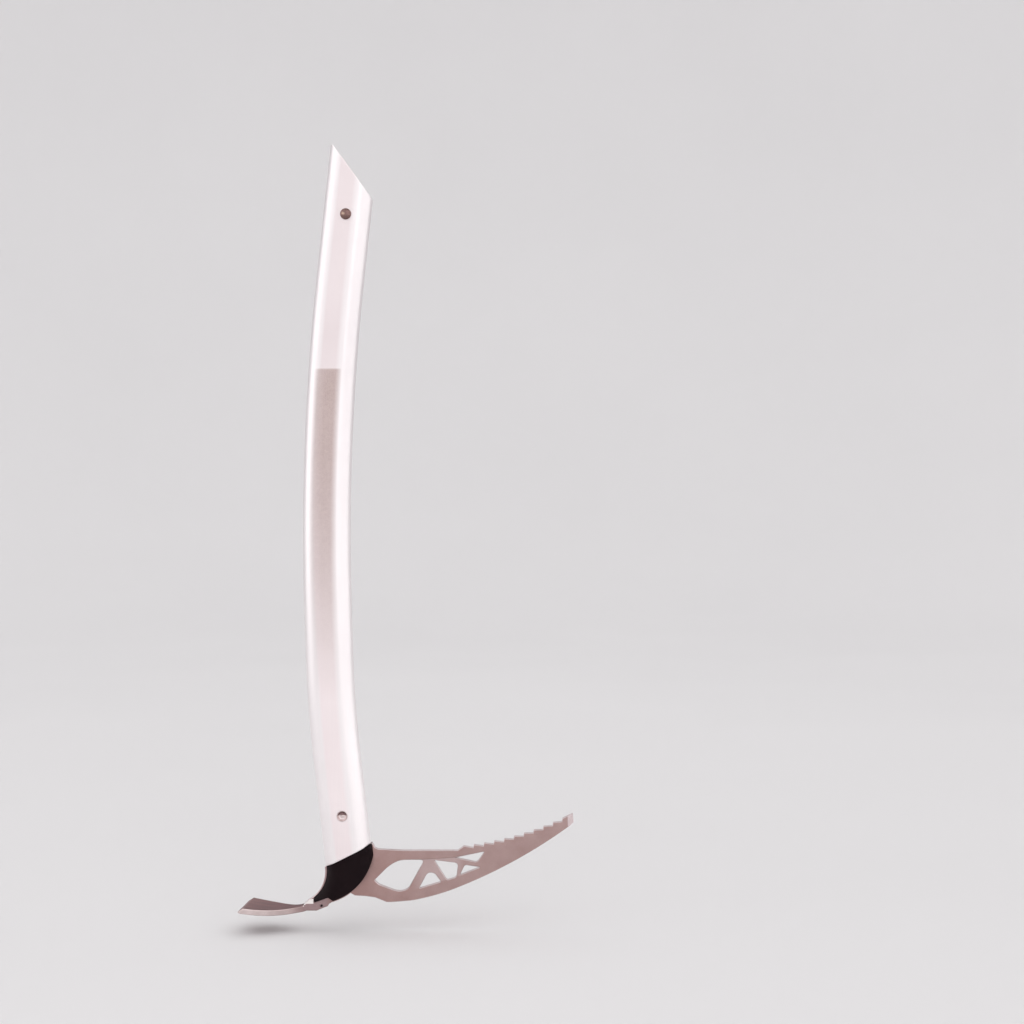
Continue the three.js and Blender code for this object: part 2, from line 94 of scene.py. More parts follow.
class Paint:
    """A material's node tree, with short calls for the nodes that the looks need."""

    def __init__(self, name):
        self.material = bpy.data.materials.new(name)
        self.material.use_nodes = True
        self.tree = self.material.node_tree
        self.shader = self.tree.nodes["Principled BSDF"]
        place = self.tree.nodes.new("ShaderNodeTexCoord")
        self.place = place.outputs["Object"]

    def put(self, socket, value):
        """Links a socket's value into an input, or sets the input to a constant."""
        if isinstance(value, bpy.types.NodeSocket):
            self.tree.links.new(value, socket)
        else:
            socket.default_value = value

    def node(self, kind, **inputs):
        made = self.tree.nodes.new("ShaderNode" + kind)
        for key, value in inputs.items():
            self.put(made.inputs[key.replace("_", " ")], value)
        return made

    def vector(self, how, first, second=(0, 0, 0)):
        """Vector arithmetic with a constant. LENGTH and DISTANCE give a number."""
        made = self.node("VectorMath", Vector=first)
        made.operation = how
        made.inputs[1].default_value = second
        return made.outputs["Value" if how in ("LENGTH", "DISTANCE") else "Vector"]

    def stretched(self, x, y, z):
        """The place on the piece, with each axis multiplied by a number."""
        return self.vector("MULTIPLY", self.place, (x, y, z))

    def noise(self, size, detail=4.0, rough=0.55, at=None):
        """Noise whose lumps are about a size in millimetres, from 0 to 1."""
        made = self.node("TexNoise", Vector=at or self.place, Scale=1 / (size * MM))
        made.inputs["Detail"].default_value = detail
        made.inputs["Roughness"].default_value = rough
        return made.outputs["Fac"]

    def ramp(self, value, *stops):
        """A ramp through stops (place, colour or grey)."""
        made = self.node("ValToRGB", Fac=value)
        points = made.color_ramp.elements
        while len(points) < len(stops):
            points.new(0.5)
        for point, (place, colour) in zip(points, sorted(stops)):
            point.position = place
            grey = isinstance(colour, (int, float))
            point.color = (colour,) * 3 + (1,) if grey else tuple(colour) + (1,)
        return made.outputs["Color"]

    def spread(self, value, low, high, start=0.0, end=1.0):
        """The value moved from low..high to start..end, and kept inside it."""
        made = self.node("MapRange", Value=value)
        ends = {"From Min": low, "From Max": high, "To Min": start, "To Max": end}
        for key, number in ends.items():
            made.inputs[key].default_value = number
        return made.outputs["Result"]

    def mixed(self, share, first, second):
        made = self.tree.nodes.new("ShaderNodeMix")
        made.data_type = "RGBA"
        for name, value in (("Factor", share), ("A", first), ("B", second)):
            socket = next(s for s in made.inputs if s.name == name and s.enabled)
            self.put(socket, (*value, 1) if isinstance(value, tuple) else value)
        return next(s for s in made.outputs if s.enabled)

    def math(self, how, first, second=0.0):
        made = self.tree.nodes.new("ShaderNodeMath")
        made.operation = how
        for socket, value in zip(made.inputs, (first, second)):
            self.put(socket, value)
        return made.outputs[0]

    def along(self, axis, of=None):
        """The place on the piece along one axis, in metres, or another vector's part."""
        return self.node("SeparateXYZ", Vector=of or self.place).outputs[axis]

    def bump(self, height, depth):
        """Bumps of a depth in millimetres, on top of those made before."""
        made = self.node("Bump", Height=height, Strength=1.0, Distance=depth * MM)
        before = self.shader.inputs["Normal"]
        if before.links:
            self.tree.links.new(before.links[0].from_socket, made.inputs["Normal"])
        self.tree.links.new(made.outputs["Normal"], before)

    def set(self, **inputs):
        for key, value in inputs.items():
            self.put(self.shader.inputs[key.replace("_", " ")], value)


# ---------------------------------------------------------------- materials

def shaft_paint():
    """Satin aluminium, blasted matt along the grip, with drawing lines and light wear."""
    p = Paint("shaft_aluminium")
    z = p.along("Z")
    # The grip's blasting starts sharply near the spike and fades away towards the head.
    top = p.spread(z, 0.3150, 0.3162, 1, 0)
    left_bare = p.math("POWER", p.spread(z, 0.109, 0.3045, 1, 0), 1.8)
    grip = p.math("MULTIPLY", top, p.math("SUBTRACT", 1.0, left_bare))
    # The shaft's line is close to a parabola up to the end of its bend. The rounded sides,
    # past the flats, are painted brighter as a painted highlight, and the blasting is kept off
    # them.
    middle, bottom, _ = shaft_at(BEND_AT)
    off = p.math("SUBTRACT", z, bottom * MM)
    curved = p.math("MINIMUM", off, BEND_RISE * MM)
    bent = p.math("MULTIPLY", curved, p.math("SUBTRACT", p.math("MULTIPLY", off, 2), curved))
    bent = p.math("DIVIDE", bent, 2 * BEND_RADIUS * MM)
    across = p.math("SUBTRACT", p.math("SUBTRACT", p.along("X"), middle * MM), bent)
    across = p.spread(across, -0.015, 0.015)
    blasting = p.ramp(
        across, (0.15, 0.0), (0.25, 0.75), (0.42, 1.0), (0.60, 0.98), (0.675, 0.5), (0.73, 0.0)
    )
    grip = p.math("MULTIPLY", grip, blasting)
    flats = p.ramp(across, (0.245, 0.0), (0.305, 1.0), (0.585, 1.0), (0.675, 0.0))
    cloud = p.noise(28, 3)
    grip = p.math("MULTIPLY", grip, p.spread(cloud, 0.2, 0.8, 0.94, 1.06))
    cool = p.ramp(p.noise(40, 3), (0.3, (0.715, 0.643, 0.651)), (0.7, (0.75, 0.682, 0.69)))
    pale = p.ramp(p.noise(40, 3), (0.3, (0.96, 0.868, 0.875)), (0.7, (0.99, 0.905, 0.912)))
    # Flats and sides darken towards the spike: partly the metal's own tone, partly painted shade.
    height = p.spread(z, 0.05, 0.33)
    # The sides' colour, brighter than the flats', is a painted highlight.
    sides = p.mixed(height, (0.98, 0.94, 0.945), (0.80, 0.762, 0.77))
    plain = p.mixed(flats, sides, p.mixed(height, pale, cool))
    blasted = p.ramp(p.noise(0.35, 3), (0.3, (0.435, 0.338, 0.325)), (0.7, (0.535, 0.434, 0.420)))
    mottle = p.spread(p.noise(1.8, 4, 0.6), 0.38, 0.64, 0, 0.4)
    blasted = p.mixed(mottle, blasted, (0.575, 0.478, 0.442))
    colour = p.mixed(grip, plain, blasted)
    # Fine lines left by drawing the tube, and a few scuffs that run across it.
    lines = p.noise(0.30, 2, at=p.stretched(1, 1, 0.012))
    scuffs = p.noise(3.2, 6, 0.7, at=p.stretched(1, 1, 5))
    worn = p.spread(scuffs, 0.66, 0.72, 0, 0.35)
    colour = p.mixed(worn, colour, (0.95, 0.93, 0.93))
    colour = p.mixed(p.spread(lines, 0.3, 0.7, 0, 0.10), colour, (0.70, 0.66, 0.67))
    rough = p.spread(p.noise(6, 4), 0.3, 0.7, 0.33, 0.41)
    rough = p.math("ADD", rough, p.math("MULTIPLY", grip, 0.10))
    p.set(Base_Color=colour, Metallic=1.0, Roughness=rough)
    p.bump(lines, 0.004)
    grain = p.math("MULTIPLY", p.noise(0.25, 2), grip)
    p.bump(grain, 0.03)
    p.bump(scuffs, 0.006)
    return p.material


def steel_face_paint():
    """The blasted faces of the head: warm grey steel with fine grain and faint clouds."""
    p = Paint("head_steel_face")
    x, z = p.along("X"), p.along("Z")
    cloud = p.noise(14, 5)
    near = p.ramp(cloud, (0.3, (0.400, 0.245, 0.226)), (0.72, (0.480, 0.310, 0.288)))
    far = p.ramp(cloud, (0.3, (0.420, 0.288, 0.274)), (0.72, (0.500, 0.363, 0.348)))
    lug = p.ramp(cloud, (0.3, (0.365, 0.258, 0.262)), (0.72, (0.440, 0.325, 0.330)))
    colour = p.mixed(p.spread(x, -0.045, 0.030), near, far)
    colour = p.mixed(p.spread(x, -0.046, -0.041, 1, 0), colour, lug)
    # The truss is ground a little lower than the rim above it, up to a fine step. The recess is
    # only
    # painted: the truss lighter, and the step a dark line of painted shade.
    above = p.math("SUBTRACT", p.math("SUBTRACT", z, p.math("MULTIPLY", x, 0.062)), 0.00944)
    reach = p.math("MULTIPLY", p.spread(x, 0.008, 0.014), p.spread(x, 0.040, 0.036))
    over_bar = p.math("ADD", p.math("SUBTRACT", z, p.math("MULTIPLY", x, 0.3)), 0.0115)
    ground = p.math("MULTIPLY", p.spread(above, 0.0001, -0.0001), reach)
    ground = p.math("MULTIPLY", ground, p.spread(over_bar, 0.0, 0.0008))
    colour = p.mixed(p.math("MULTIPLY", ground, 0.55), colour, (0.62, 0.50, 0.50))
    # Painted shade: a thin dark line along the step, which is not modelled.
    step_painted_shade = p.math("MULTIPLY", p.spread(p.math("ABSOLUTE", above), 0.00008, 0.00026, 1, 0), reach)
    colour = p.mixed(p.math("MULTIPLY", step_painted_shade, 0.55), colour, (0.20, 0.13, 0.12))
    grain = p.noise(0.22, 3)
    colour = p.mixed(p.spread(grain, 0.3, 0.7, 0, 0.30), colour, (0.27, 0.185, 0.172))
    scuffs = p.noise(2.4, 7, 0.72, at=p.stretched(1, 1, 4))
    colour = p.mixed(p.spread(scuffs, 0.66, 0.74, 0, 0.3), colour, (0.62, 0.52, 0.51))
    rough = p.spread(p.noise(3, 5), 0.3, 0.7, 0.40, 0.50)
    p.set(Base_Color=colour, Metallic=1.0, Roughness=rough)
    p.bump(grain, 0.02)
    p.bump(scuffs, 0.008)
    return p.material


def adze_face_paint():
    """The adze's broad faces, darker than the plate, with rubbing marks along it."""
    p = Paint("adze_steel_face")
    cloud = p.noise(7, 5, 0.6, at=p.stretched(0.35, 1, 1))
    outer = p.ramp(cloud, (0.25, (0.165, 0.079, 0.080)), (0.75, (0.345, 0.200, 0.192)))
    root = p.ramp(cloud, (0.25, (0.102, 0.042, 0.046)), (0.75, (0.225, 0.110, 0.112)))
    colour = p.mixed(p.spread(p.along("X"), -0.094, -0.070), outer, root)
    scuffs = p.noise(1.6, 7, 0.72, at=p.stretched(0.25, 1, 1))
    colour = p.mixed(p.spread(scuffs, 0.60, 0.72, 0, 0.4), colour, (0.40, 0.31, 0.305))
    grain = p.noise(0.22, 3)
    p.set(Base_Color=colour, Metallic=1.0, Roughness=p.spread(cloud, 0.3, 0.7, 0.42, 0.52))
    p.bump(grain, 0.02)
    p.bump(scuffs, 0.010)
    return p.material


def ground_paint(name, dark, light, worn, rough):
    """Cut and ground steel, brighter than the blasted faces, with fine grinding lines."""
    p = Paint(name)
    lines = p.noise(0.16, 3, at=p.stretched(0.25, 1, 0.25))
    colour = p.ramp(lines, (0.3, dark), (0.7, light))
    cloud = p.noise(5, 4)
    colour = p.mixed(p.spread(cloud, 0.35, 0.7, 0, 0.5), colour, worn)
    roughness = p.spread(cloud, 0.3, 0.7, rough - 0.06, rough + 0.06)
    p.set(Base_Color=colour, Metallic=1.0, Roughness=roughness)
    p.bump(lines, 0.012)
    return p.material


def adze_edge_paint():
    """The adze's sides: bare near the cutting edge and duller towards the lugs."""
    p = Paint("adze_steel_edge")
    cloud = p.noise(6, 5, 0.6, at=p.stretched(0.5, 1, 1))
    outer = p.ramp(cloud, (0.3, (0.66, 0.55, 0.535)), (0.72, (0.81, 0.70, 0.69)))
    root = p.ramp(cloud, (0.3, (0.34, 0.235, 0.23)), (0.72, (0.44, 0.325, 0.315)))
    colour = p.mixed(p.spread(p.along("X"), -0.082, -0.060), outer, root)
    marks = p.noise(1.4, 6, 0.7, at=p.stretched(0.3, 1, 1))
    colour = p.mixed(p.spread(marks, 0.60, 0.72, 0, 0.35), colour, (0.24, 0.165, 0.165))
    p.set(Base_Color=colour, Metallic=1.0, Roughness=p.spread(cloud, 0.3, 0.7, 0.34, 0.46))
    p.bump(marks, 0.010)
    return p.material


def moulding_paint():
    """Black moulded plastic with an even spark-eroded grain."""
    p = Paint("black_moulding")
    cells = p.node("TexVoronoi", Vector=p.place, Scale=1 / (0.45 * MM)).outputs["Distance"]
    grain = p.noise(0.5, 4)
    colour = p.ramp(p.noise(9, 4), (0.3, (0.0066, 0.0022, 0.0034)), (0.7, (0.0098, 0.0040, 0.0052)))
    rough = p.spread(p.noise(2.5, 5), 0.3, 0.7, 0.50, 0.62)
    p.set(Base_Color=colour, Roughness=rough, Specular_IOR_Level=0.09)
    p.bump(cells, 0.02)
    p.bump(grain, 0.03)
    return p.material


def turned_paint(name, dark, light, rough, centre, hollow=None, painted_highlight=None):
    """Turned metal, with rings round a centre (x, z) and small marks. hollow gives the
    radius of a dish whose upper part is darkened with painted shade, and that shade's colour.
    The last argument gives a painted highlight, a spot painted brighter: its place from the centre
    in x and z, its radius and its colour."""
    p = Paint(name)
    shifted = p.vector("SUBTRACT", p.place, (centre[0] * MM, 0, centre[1] * MM))
    flat = p.vector("MULTIPLY", shifted, (1, 0, 1))
    radius = p.vector("LENGTH", flat)
    rings = p.node("TexNoise", Scale=1 / (0.12 * MM))
    rings.noise_dimensions = "1D"
    p.tree.links.new(radius, rings.inputs["W"])
    rings = rings.outputs["Fac"]
    marks = p.noise(0.9, 5, 0.65)
    colour = p.ramp(marks, (0.3, dark), (0.7, light))
    if hollow:
        # Painted shade: the dish's upper part is darkened as if shadowed by its rim.
        reach, dish_shade_colour = hollow
        wander = p.spread(p.noise(1.1, 3), 0.3, 0.7, -0.0003, 0.0003)
        height = p.math("ADD", p.along("Z", shifted), wander)
        inside = p.spread(radius, (reach - 0.1) * MM, (reach + 0.05) * MM, 1, 0)
        painted_dish_shade = p.math("MULTIPLY", inside, p.spread(height, 0.0002, 0.0005))
        colour = p.mixed(painted_dish_shade, colour, dish_shade_colour)
    if painted_highlight:
        # A painted highlight: a spot painted brighter on the dome, left of its centre.
        (right, up), size, highlight_colour = painted_highlight
        away = p.vector("DISTANCE", flat, (right * MM, 0, up * MM))
        wander = p.spread(p.noise(0.8, 4), 0.3, 0.7, -0.0003, 0.0003)
        ragged = p.math("ADD", away, wander)
        colour = p.mixed(p.spread(ragged, 0.2 * size * MM, size * MM, 0.9, 0), colour, highlight_colour)
    roughness = p.spread(marks, 0.3, 0.7, rough - 0.05, rough + 0.06)
    p.set(Base_Color=colour, Metallic=1.0, Roughness=roughness)
    p.bump(rings, 0.010)
    p.bump(marks, 0.006)
    return p.material


# ---------------------------------------------------------------- making pieces

def finish_piece(name, mesh, paints, node, sharp, paint_of=None):
    mesh.materials.clear()
    for paint in paints:
        mesh.materials.append(paint)
    if paint_of:
        for face in mesh.polygons:
            face.material_index = paint_of(face)
    mesh.shade_smooth()
    mesh.set_sharp_from_angle(angle=math.radians(sharp))
    mesh.update()
    piece = bpy.data.objects.new(name, mesh)
    bpy.context.scene.collection.objects.link(piece)
    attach(piece, "root")
    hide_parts(node)


def outward(mesh):
    """Makes every face of a closed mesh face out."""
    bm = bmesh.new()
    bm.from_mesh(mesh)
    bmesh.ops.recalc_face_normals(bm, faces=bm.faces)
    bm.to_mesh(mesh)
    bm.free()
    return mesh


def held(mesh):
    """A throwaway object that holds a mesh, to cut with or to be cut."""
    made = bpy.data.objects.new("cutter", mesh)
    bpy.context.scene.collection.objects.link(made)
    return made


def solid(points, faces):
    """A throwaway object from points in millimetres."""
    mesh = bpy.data.meshes.new("cutter")
    mesh.from_pydata([Vector(p) * MM for p in points], [], faces)
    return held(outward(mesh))


def combined(first, others, how):
    """The mesh of the first object with the others added to it or cut from it."""
    for other in others:
        change = first.modifiers.new("join", "BOOLEAN")
        change.operation = how
        change.solver = "EXACT"
        change.object = other
    bpy.context.view_layer.update()
    evaluated = first.evaluated_get(bpy.context.evaluated_depsgraph_get())
    mesh = bpy.data.meshes.new_from_object(evaluated)
    for used in [first, *others]:
        old = used.data
        bpy.data.objects.remove(used)
        bpy.data.meshes.remove(old)
    return mesh


def ring_faces(rows, columns, close_rows=False):
    """Quads between rows of points that each go right round."""
    faces = []
    for r in range(rows if close_rows else rows - 1):
        for c in range(columns):
            n, m = (c + 1) % columns, (r + 1) % rows
            faces.append((r * columns + c, r * columns + n, m * columns + n, m * columns + c))
    return faces


def lathe(profile, centre, sides=64):
    """Points and faces of a profile [(radius, y)] turned about the line along Y."""
    x, z = centre
    points = []
    for radius, y in profile:
        for i in range(sides):
            angle = 2 * math.pi * i / sides
            points.append((x + radius * math.cos(angle), y, z + radius * math.sin(angle)))
    faces = ring_faces(len(profile), sides)
    faces.append(tuple(reversed(range(sides))))
    faces.append(tuple(range(len(points) - sides, len(points))))
    return points, faces


# ---------------------------------------------------------------- outlines

def arc_points(start, end, rise, steps):
    """Points along an arc that stands off its chord, to the right of the way it goes."""
    start, end = Vector(start), Vector(end)
    chord = (end - start).length
    half = 2 * math.atan(2 * rise / chord)
    radius = chord / 2 / math.sin(half)
    along = (end - start).normalized()
    off = Vector((along.y, -along.x))
    points = []
    for i in range(steps + 1):
        angle = half * (2 * i / steps - 1)
        forward = chord / 2 + radius * math.sin(angle)
        out = radius * (math.cos(angle) - math.cos(half))
        points.append(tuple(start + along * forward + off * out))
    return points


def rounded(corners, steps=7):
    """A closed outline through corners (x, z, reach), rounded from that reach either side."""
    points = []
    for i, (x, z, reach) in enumerate(corners):
        here = Vector((x, z))
        before = Vector(corners[i - 1][:2]) - here
        after = Vector(corners[(i + 1) % len(corners)][:2]) - here
        start = here + before.normalized() * reach
        end = here + after.normalized() * reach
        for k in range(steps + 1):
            t = k / steps
            points.append(tuple(start * (1 - t) ** 2 + here * (2 * t * (1 - t)) + end * t**2))
    return points


def area(loop):
    return sum(x0 * z1 - x1 * z0 for (x0, z0), (x1, z1) in zip(loop, loop[1:] + loop[:1])) / 2


def turned_way(loop, sign):
    """The loop, going round anticlockwise for 1 and clockwise for -1."""
    return loop if area(loop) * sign > 0 else loop[::-1]


def inset(loop, depth):
    """The loop moved to its left by a depth, with long mitres cut short."""
    moved = []
    for i, point in enumerate(loop):
        here = Vector(point)
        into = (here - Vector(loop[i - 1])).normalized()
        out = (Vector(loop[(i + 1) % len(loop)]) - here).normalized()
        left = Vector((-into.y - out.y, into.x + out.x))
        if left.length < 1e-6:
            left = Vector((-into.y, into.x))
        left.normalize()
        reach = depth / max(0.45, left.dot(Vector((-into.y, into.x))))
        moved.append(tuple(here + left * reach))
    return moved


def sheet_solid(loops, low, high, chamfer):
    """A flat sheet with holes and chamfered edges. The first loop is the outside.

    Returns points, faces, and how many of the first faces are the two flat sides."""
    loops = [turned_way(loop, 1 if i == 0 else -1) for i, loop in enumerate(loops)]
    insets = [inset(loop, chamfer) for loop in loops]
    flat = [point for loop in insets for point in loop]
    count = len(flat)
    edge = [point for loop in loops for point in loop]
    levels = [(flat, low), (edge, low + chamfer), (edge, high - chamfer), (flat, high)]
    points = [(x, y, z) for level, y in levels for x, z in level]
    triangles = tessellate_polygon([[Vector((x, z, 0)) for x, z in loop] for loop in insets])
    faces = []
    for a, b, c in triangles:
        ax, az = flat[a]
        bx, bz = flat[b]
        cx, cz = flat[c]
        if (bx - ax) * (cz - az) - (bz - az) * (cx - ax) < 0:
            b, c = c, b
        faces.append((a, b, c))
        faces.append((3 * count + a, 3 * count + c, 3 * count + b))
    sides = len(faces)
    start = 0
    for loop in loops:
        size = len(loop)
        for i in range(size):
            a, b = start + i, start + (i + 1) % size
            for level in range(3):
                low_a, low_b = level * count + a, level * count + b
                faces.append((low_b, low_a, low_a + count, low_b + count))
        start += size
    return points, faces, sides


# ---------------------------------------------------------------- the shaft line

def shaft_at(distance):
    """x, z and lean in degrees of the shaft's middle line at a distance from its foot."""
    x, z, lean = SHAFT_FOOT
    left = distance
    for length, turn in SHAFT_RUNS:
        used = min(left, length)
        turned = turn * used / length
        middle = math.radians(lean + turned / 2)
        x += used * math.sin(middle)
        z += used * math.cos(middle)
        lean += turned
        left -= used
        if left <= 0:
            break
    return x, z, lean


def section(depth_in, quarter=14):
    """The shaft's section, smaller by an inset: points (across, y), anticlockwise."""
    deep = SHAFT_DEPTH / 2 - depth_in
    flat = SHAFT_FLAT / 2
    bulge = SHOULDER - depth_in
    points = []
    for i in range(4 * quarter):
        angle = i / (2 * quarter) * math.pi
        side = flat if math.cos(angle) > 1e-9 else -flat
        if i in (quarter, 3 * quarter):
            turn = 1 if i == quarter else -1
            points.extend((flat * turn * k, deep * turn) for k in (1, 0.5, 0, -0.5, -1))
        else:
            points.append((side + bulge * math.cos(angle), deep * math.sin(angle)))
    return points


def on_shaft(distance, across, y):
    x, z, lean = shaft_at(distance)
    angle = math.radians(lean)
    return (x + across * math.cos(angle), y, z - across * math.sin(angle))


def reach_of(across, at, slope):
    """How far up the shaft a line at that distance across meets a sloping plane."""
    x0, z0, _ = shaft_at(at)
    angle = math.radians(slope)
    distance = at
    for _ in range(12):
        x, _, z = on_shaft(distance, across, 0)
        miss = (z - z0) * math.cos(angle) - (x - x0) * math.sin(angle)
        distance -= miss / math.cos(angle + math.radians(shaft_at(distance)[2]))
    return distance


def spike_end(across):
    return min(reach_of(across, SPIKE_AT, SPIKE_SLOPE), SPIKE_BLUNT)


def mouth_end(across):
    return reach_of(across, MOUTH_AT, MOUTH_SLOPE)


def shaft_tube(paint):
    """The hollow tube, with its two oblique ends eased at the rims."""
    lengths = 90
    run_back = 0.9  # how far short of the ends the long runs stop
    # Round a rim, from the outer face to the bore: depth in, and distance back.
    rim = [(0, 0.42), (0.10, 0.12), (0.40, 0)]
    rim += [(SHAFT_WALL - depth_in, back) for depth_in, back in reversed(rim)]
    rows = []

    def row(depth_in, back, share):
        ring = []
        for across, y in section(depth_in):
            low, high = mouth_end(across) + back, spike_end(across) - back
            ring.append(on_shaft(low + (high - low) * share, across, y))
        rows.append(ring)

    row(*rim[0], 0)
    for i in range(lengths + 1):
        row(0, run_back, i / lengths)
    for depth_in, back in rim:
        row(depth_in, back, 1)
    for i in range(lengths + 1):
        row(SHAFT_WALL, run_back, 1 - i / lengths)
    for depth_in, back in reversed(rim[1:]):
        row(depth_in, back, 0)
    columns = len(rows[0])
    points = [point for ring in rows for point in ring]
    tube = solid(points, ring_faces(len(rows), columns, close_rows=True))
    drills = []
    for at, radius in ((HEAD_RIVET_AT, HEAD_RIVET_R + 0.1), (SPIKE_RIVET_AT, SHANK_R + GAP)):
        x, z, _ = shaft_at(at)
        drills.append(solid(*lathe([(radius, -THROUGH), (radius, THROUGH)], (x, z))))
    mesh = combined(tube, drills, "DIFFERENCE")
    finish_piece("shaft_skin", mesh, [paint], "shaft_tube", 35)


# ---------------------------------------------------------------- the head plate

def toothed_edge():
    (x0, z0), (x1, z1) = FIRST_TOOTH, PICK_TIP
    slope = math.atan2(z1 - z0, x1 - x0)
    count = 200
    line = arc_points(FIRST_TOOTH, PICK_TIP, PICK_SAG, count)
    chord = math.hypot(x1 - x0, z1 - z0)
    edge = []
    for tooth in range(TOOTH_COUNT - 1):
        edge.append(line[round(tooth * TOOTH_PITCH / chord * count)])
        x, z = line[round((tooth + 1 - TOOTH_RISE) * TOOTH_PITCH / chord * count)]
        edge.append((x + TOOTH_DEPTH * math.sin(slope), z - TOOTH_DEPTH * math.cos(slope)))
    edge.append(line[round((TOOTH_COUNT - 1) * TOOTH_PITCH / chord * count)])
    edge.append(PICK_TIP)
    return edge


def tang_corners():
    """The tang's outline above the plate's edge, from the pick side round to the other."""
    x0, z0, lean = SHAFT_FOOT
    angle = math.radians(lean)
    along = Vector((math.sin(angle), math.cos(angle)))
    across = Vector((math.cos(angle), -math.sin(angle)))
    left, right = Vector((-46.8, 5.6)), Vector((-17.4, 20.3))
    edge = right - left
    corners = []
    for side in (1, -1):
        foot = Vector((x0, z0)) + across * side * TANG_WIDTH / 2
        off = foot - left
        up = (edge.x * off.y - edge.y * off.x) / (edge.y * along.x - edge.x * along.y)
        low, high = foot + along * up, foot + along * TANG_TOP
        corners.extend([low, high] if side > 0 else [high, low])
    return [tuple(c) for c in corners]


def plate_outline():
    crown, heel = (36.9, -7), (6.6, -15.5)
    return [
        (-46.8, 5.6),
        *reversed(tang_corners()),
        (-17.4, 20.3),
        (-16.4, 19.4),
        (-15.6, 17.6),
        (-13.6, 16.6),
        (2.5, 15.8),
        (36.2, 15.8),
        *toothed_edge(),
        (108.4, 33.2),
        *arc_points((106.5, 31.5), crown, -2.5, 40),
        *arc_points(crown, heel, -0.87, 16)[1:],
        (-5.3, -16.4),
        (-8.2, -16.4),
        (-15.3, -13.5),
        (-20.8, -12.7),
        (-28, -12.3),
        *arc_points((-30.6, -10.8), (-42.5, -16.6), -0.6, 10),
        (-44.6, -18),
        (-51.6, -20.8),
        (-57.6, -20.8),
        (-57.6, -15.6),
        *arc_points((-53.9, -13.1), (-46.8, 5.6), 2.5, 24)[:-1],
    ]


PLATE_HOLES = [
    [
        (-15.8, -2.8, 1), (-13.2, -5.4, 1.4), (-1, -9.9, 3), (5, -8.6, 3),
        (15.4, 10, 3), (0, 9.9, 3.6), (-6.6, 6.4, 3.6),
    ],
    [(12, -7.9, 1.2), (17.3, 2, 2.1), (21.6, 2, 2.1), (25.8, -3.8, 1.2)],
    [(21.4, 9.8, 1.4), (36.4, 8, 2.4), (35.3, -0.9, 1.6), (29.4, -2.8, 1.4)],
    [(34.2, 11.3, 1), (53, 15.2, 1.4), (48.2, 8.4, 1.6)],
    [(40.6, 6.8, 1.2), (37.5, 0.4, 1.2), (50.4, 5.4, 1.2)],
]


def grind_tip(bm):
    """Grinds both sides of the pick's tip to a chisel."""
    droop = Matrix.Rotation(math.radians(-TIP_DROOP), 3, "Y")
    for side in (1, -1):
        turn = droop @ Matrix.Rotation(-side * math.radians(TIP_ANGLE), 3, "Z")
        through = droop @ Vector((-TIP_REACH, side * PLATE_FACE, 0))
        through = (through + Vector((TIP_AT[0], 0, TIP_AT[1]))) * MM
        cut = bmesh.ops.bisect_plane(
            bm,
            geom=[*bm.verts, *bm.edges, *bm.faces],
            dist=1e-7,
            plane_co=through,
            plane_no=turn @ Vector((0, side, 0)),
            clear_outer=True,
        )
        edges = [e for e in cut["geom_cut"] if isinstance(e, bmesh.types.BMEdge)]
        filled = bmesh.ops.holes_fill(bm, edges=edges, sides=0)
        for face in filled["faces"]:
            face.material_index = 2


def head_plate(face_paint, edge_paint, tip_paint):
    x, z, _ = shaft_at(HEAD_RIVET_AT)
    loops = [plate_outline(), *[rounded(hole) for hole in PLATE_HOLES]]
    radius = SLEEVE_D / 2 + GAP
    turns = [k * math.tau / 48 for k in range(48)]
    loops.append([(x + radius * math.cos(a), z + radius * math.sin(a)) for a in turns])
    points, faces, sides = sheet_solid(loops, -PLATE_FACE, PLATE_FACE, 0.3)
    mesh = bpy.data.meshes.new("head_plate_steel")
    mesh.from_pydata([Vector(p) * MM for p in points], [], faces)
    for face in mesh.polygons:
        face.material_index = 0 if face.index < sides else 1
    bm = bmesh.new()
    bm.from_mesh(mesh)
    grind_tip(bm)
    bm.to_mesh(mesh)
    bm.free()
    numbers = [face.material_index for face in mesh.polygons]

    def paint_of(face):
        return numbers[face.index]

    paints = [face_paint, edge_paint, tip_paint]
    finish_piece("head_plate_steel", mesh, paints, "head_plate", 25, paint_of)


# ---------------------------------------------------------------- the mouldings

NOTCH, CORNER = Vector((-44.1, -12.3)), Vector((-53, -15.6))  # the moulding's foot
PICK_SIDE = 1.6  # how much wider than the shaft's section it is towards the pick


def across_shaft(x, z):
    """How far a place is from the straight part of the shaft line, + to the pick side."""
    sx, sz, lean = SHAFT_FOOT
    angle = math.radians(lean)
    return (x - sx) * math.cos(angle) - (z - sz) * math.sin(angle)


def on_circle(circle, degrees):
    x, z, radius = circle
    angle = math.radians(degrees)
    return Vector((x + radius * math.cos(angle), z + radius * math.sin(angle)))


def down_tail_side(share):
    """The moulding's edge above the adze, from the mouth down to its corner."""
    start, end = TAIL_TURN
    arc_share = 0.92
    if share < arc_share:
        return on_circle(TAIL_ARC, start + (end - start) * share / arc_share)
    return on_circle(TAIL_ARC, end).lerp(CORNER, (share - arc_share) / (1 - arc_share))


def down_pick_side(share):
    """Its edge on the pick side, no wider than the shaft's section at the plate's face."""
    start, end = INSERT_TURN
    spot = on_circle(INSERT_ARC, start + (end - start) * share)
    over = across_shaft(*spot) - SHAFT_FLAT / 2 - PICK_SIDE - 0.965 * (SHOULDER - 0.5)
    if over <= 0:
        return spot
    slope = math.radians(MOUTH_SLOPE)
    across_slope = math.cos(slope + math.radians(SHAFT_FOOT[2]))
    return spot - Vector((math.cos(slope), math.sin(slope))) * over / across_slope


def past_segment(spot, start, end):
    """How far a place is from a straight stretch of an outline."""
    way = end - start
    share = max(0, min(1, (spot - start).dot(way) / way.length_squared))
    return (spot - start - way * share).length


